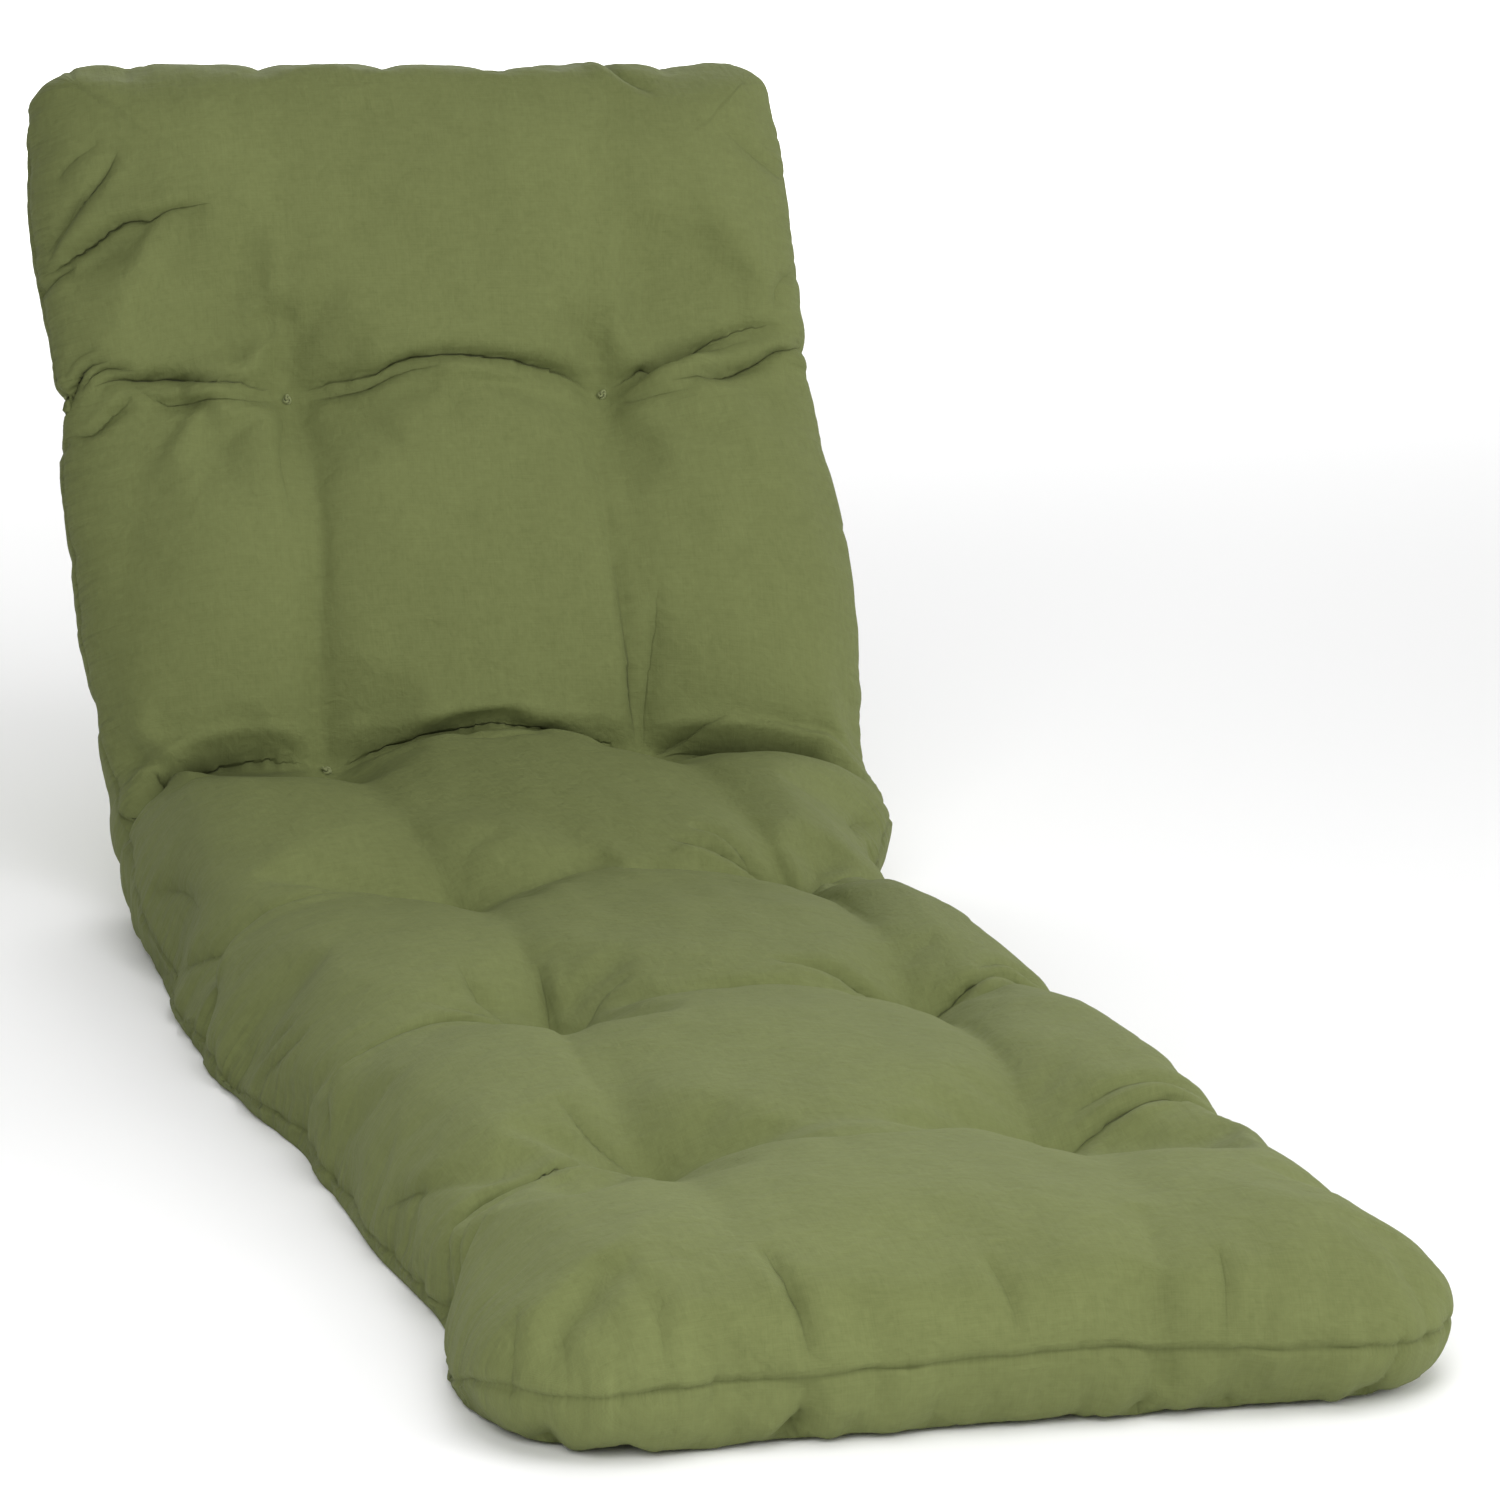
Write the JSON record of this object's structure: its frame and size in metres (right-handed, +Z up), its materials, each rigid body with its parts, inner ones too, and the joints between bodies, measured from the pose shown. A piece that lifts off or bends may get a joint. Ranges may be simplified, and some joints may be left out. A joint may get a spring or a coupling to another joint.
{
  "type": "sun lounger cushion",
  "caption": "Long filled sun lounger cushion, tufted in rows, its seat lying flat and its back part raised at the fold, with knotted thread at the tufts.",
  "frame": {"origin": "on the surface that the seat lies on, below the middle of the cushion's bounding box", "axes": "+Z up, +Y from the foot end towards the raised back, +X to the right as seen from the foot end"},
  "size_m": [0.636, 1.5508, 0.6111],
  "materials": {
    "cushion_cloth": "plain woven polyester with a soft, slightly satin surface",
    "tuft_thread": "twisted sewing thread, a little lighter than the cloth"
  },
  "bodies": {
    "root": {"cushion": "cushion_cloth", "tuft_knot_1_left": "tuft_thread", "tuft_knot_1_right": "tuft_thread", "tuft_knot_2_left": "tuft_thread", "tuft_knot_2_right": "tuft_thread", "tuft_knot_3_left": "tuft_thread", "tuft_knot_3_right": "tuft_thread", "tuft_knot_4_left": "tuft_thread", "tuft_knot_4_right": "tuft_thread", "tuft_knot_5_left": "tuft_thread", "tuft_knot_5_right": "tuft_thread"}
  },
  "joints": []
}
